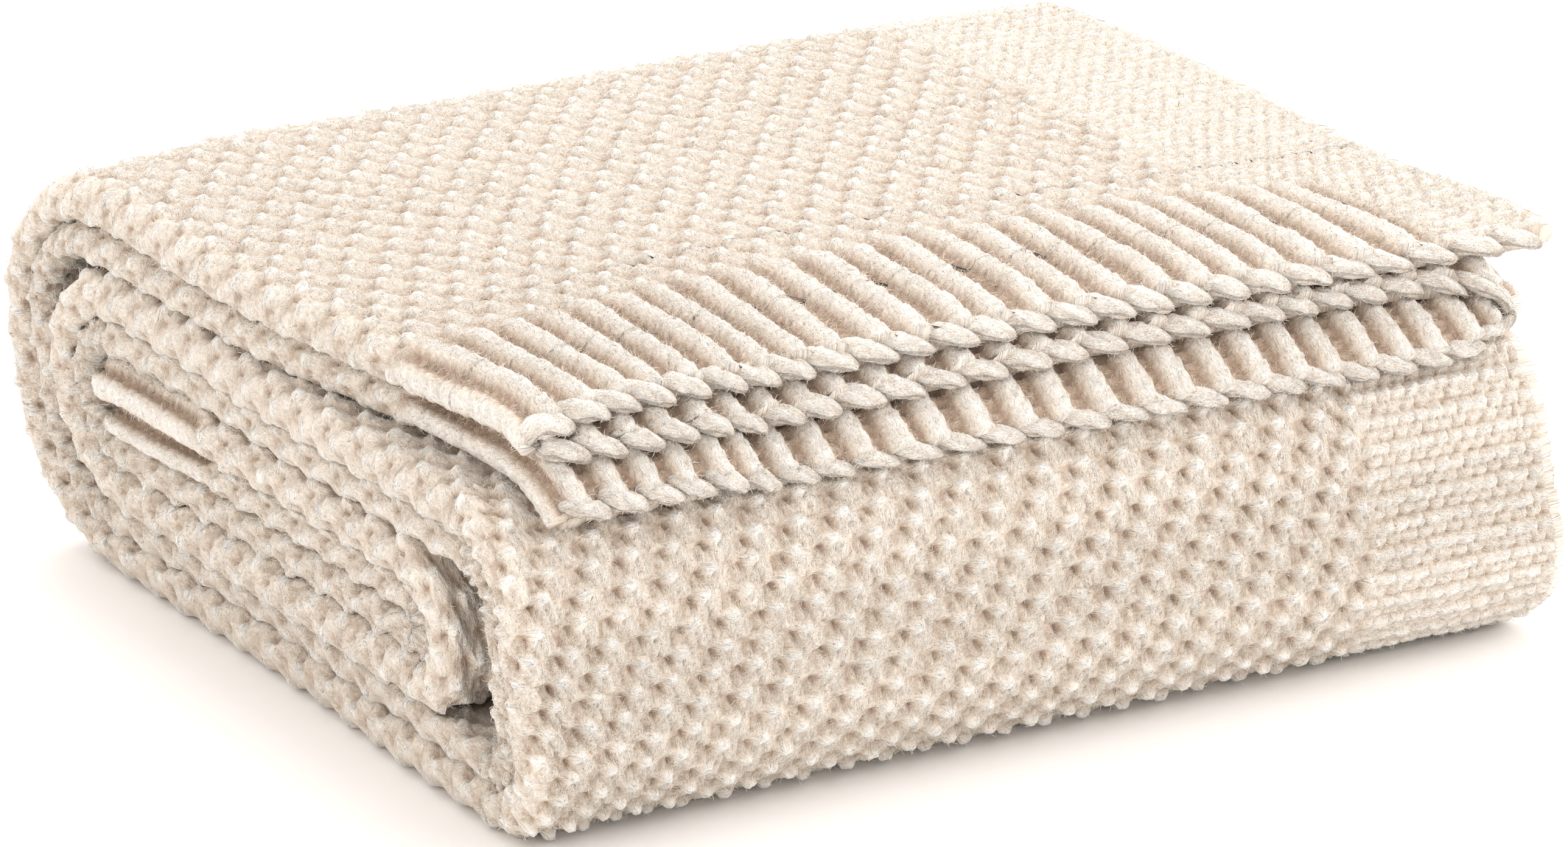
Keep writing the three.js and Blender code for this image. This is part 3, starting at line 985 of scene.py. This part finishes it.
def bind_off(name, first, last):
    """A row of overlapping links along one ply's edge, from u first to u last."""
    link_rings, link_sides = 22, 16
    span = abs(np.interp(last, line_u, outer_length) - np.interp(first, line_u, outer_length))
    count = max(1, round(span / (2 * stitch)))
    t = np.linspace(0, 1, link_rings)[:, None]
    angle = np.linspace(0, 2 * np.pi, link_sides, endpoint=False)[None, :]
    start, middle_third, finish = (1 - t) ** 2, 2 * t * (1 - t), t ** 2
    places, faces, shade, grain, uv = [], [], [], [], []
    for n in range(count):
        r1, r2, r3 = chance(n, 3, first), chance(n, 5, first), chance(n, 7, first)
        middle = first + (last - first) * (n + 0.5 + 0.15 * (r1 - 0.5)) / count
        # a link starts a little up the cuff, rises over the edge and dips below it
        du = start * 10.5 + middle_third * 1.0 - finish * 10.5
        dv = -start * (2.8 + r2) + middle_third * 0.6 + finish * 2.2
        dh = start * 0.4 + middle_third * 2.2 - finish * 2.2
        plump = np.sqrt(np.maximum(0.02, 1 - np.abs(2 * t - 1) ** 2.6))
        twist = np.cos(3 * angle + 9 * t + n)  # the yarn's three plies
        tufts = fluff(9 * angle + 0 * t, 22 * t + 3.1 * n, 2.6, 41)
        radius = (3.15 + 0.5 * r3) * plump * (1 + 0.10 * twist + 0.16 * tufts)
        leftward = 1.0 if np.interp(middle, line_u, line_dx) < 0 else -1.0
        u = np.clip(middle + leftward * du + 0 * angle, 0.5, cloth_width - 0.5)
        x, h = np.interp(u, line_u, line_x), np.interp(u, line_u, line_h)
        along_x, along_h = np.interp(u, line_u, line_dx), np.interp(u, line_u, line_dh)
        up = np.where(along_x < 0, 1.0, -1.0)
        rise = 0.6 + dh + radius * np.sin(angle)
        v = end_of_ply(u) + 0.3 + dv + radius * np.cos(angle)
        places.append(lay_down(x + up * along_h * rise, h - up * along_x * rise, v, u))
        base = n * link_rings * link_sides
        faces += (base + tube(link_rings, link_sides)).tolist()
        ring_ids = base + np.arange(link_sides)
        faces += [ring_ids[::-1].tolist(), (ring_ids + (link_rings - 1) * link_sides).tolist()]
        # painted light and shade: each link lighter at its middle and on its upper side, darker in the
        # grooves between the yarn's plies
        painted_light = 0.50 + 0.22 * np.sin(np.pi * t) + 0.10 * np.sin(angle) + 0.12 * twist
        shade.append(np.clip(painted_light, 0, 1).ravel())
        grain.append(np.zeros(painted_light.size))
        uv.append(np.stack([middle + du + 0 * angle, angle * 2.9 + 0 * t], -1).reshape(-1, 2))
    places, shade, grain, uv = (np.concatenate(part) for part in (places, shade, grain, uv))
    piece = shape_mesh(name, places, faces, shade, grain, uv)
    open_skin[name] = np.arange(len(piece.data.vertices))
    face_outward(piece)
    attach(piece, "cuff")
    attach(nap(piece, 2600, 111, 3.4), "cuff")


bind_off("outer_bind_off", 4.0, fold_left_1)
bind_off("middle_bind_off", fold_left_1 + 4, fold_right - 3)
bind_off("inner_bind_off", fold_right + 3, fold_left_2 - 4)
